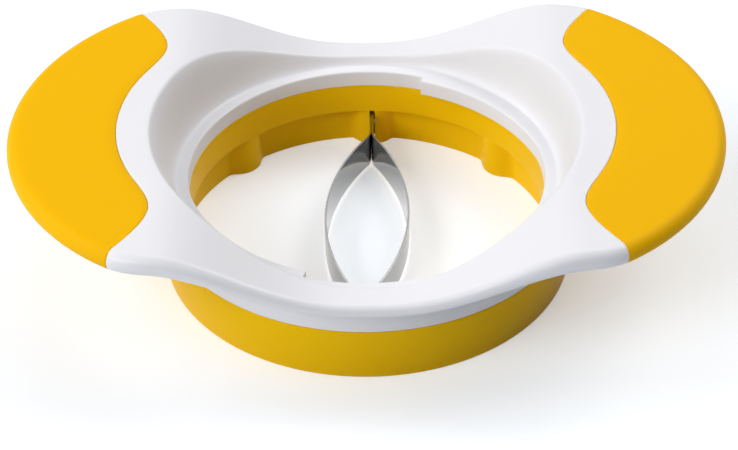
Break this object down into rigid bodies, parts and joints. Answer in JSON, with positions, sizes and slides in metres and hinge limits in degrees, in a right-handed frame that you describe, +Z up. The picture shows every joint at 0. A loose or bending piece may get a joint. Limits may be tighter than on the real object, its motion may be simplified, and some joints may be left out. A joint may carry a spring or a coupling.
{
  "type": "mango pitter",
  "caption": "Press-down mango pitter with a winged frame, soft grips and a twist-off ring that holds an almond-shaped steel stone cutter.",
  "frame": {"origin": "on the axis of the ring, at the foot that the pitter stands on", "axes": "+X along the wings to the right grip, +Y to the back, +Z up along the axis of the ring"},
  "size_m": [0.189, 0.1218, 0.0414],
  "materials": {
    "white_abs": "satin moulded",
    "yellow_grip": "soft touch moulded",
    "yellow_abs": "satin moulded",
    "blade_steel": "rolled and ground",
    "fastener_steel": "plated"
  },
  "bodies": {
    "base": {"blade_ring": "yellow_abs", "lock_ring": "yellow_abs", "left_blade": "blade_steel", "right_blade": "blade_steel", "front_blade_pin": "fastener_steel", "rear_blade_pin": "fastener_steel", "ring_screw_front_left": "fastener_steel", "ring_screw_front_right": "fastener_steel", "ring_screw_back_left": "fastener_steel", "ring_screw_back_right": "fastener_steel"},
    "handle": {"handle_frame": "white_abs", "collar": "white_abs", "left_grip": "yellow_grip", "right_grip": "yellow_grip", "collar_screw_front_left": "fastener_steel", "collar_screw_front_right": "fastener_steel", "collar_screw_back_left": "fastener_steel", "collar_screw_back_right": "fastener_steel"}
  },
  "joints": [
    {"name": "handle_twist", "type": "hinge", "parent": "base", "child": "handle", "pos_m": [0, 0, 0.018], "axis": [0, 0, 1], "range_deg": [-35, 0]}
  ]
}
